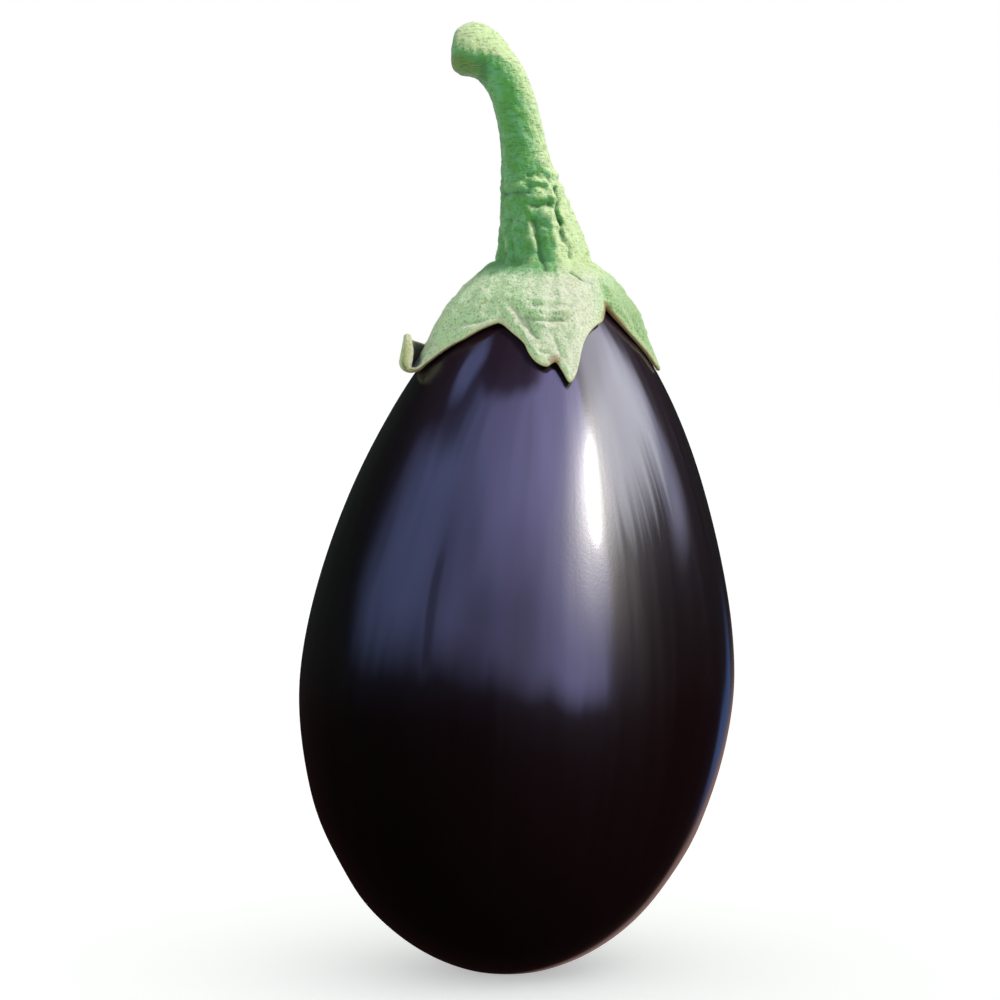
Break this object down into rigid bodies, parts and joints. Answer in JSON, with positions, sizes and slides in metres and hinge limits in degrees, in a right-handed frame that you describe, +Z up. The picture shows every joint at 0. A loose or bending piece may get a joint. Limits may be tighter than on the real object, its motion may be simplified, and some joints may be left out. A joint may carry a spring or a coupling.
{
  "type": "eggplant",
  "caption": "Globe eggplant standing on its blossom end, with a glossy dark fruit, a leathery lobed calyx with a curled lobe, and a ribbed stem bent over at its cut end.",
  "frame": {"origin": "centre of the flat resting spot at the blossom end", "axes": "+Z up along the fruit to the stem, -X towards the side that the stem's cut end and the curled calyx lobe point to, -Y the front"},
  "size_m": [0.1051, 0.1049, 0.2279],
  "materials": {
    "skin": "glossy, waxy dark purple skin",
    "calyx": "matt, leathery pale green with yellowish margins",
    "stem": "matt, finely hairy mid green"
  },
  "bodies": {
    "root": {"fruit": "skin", "calyx": "calyx", "stem": "stem"}
  },
  "joints": []
}
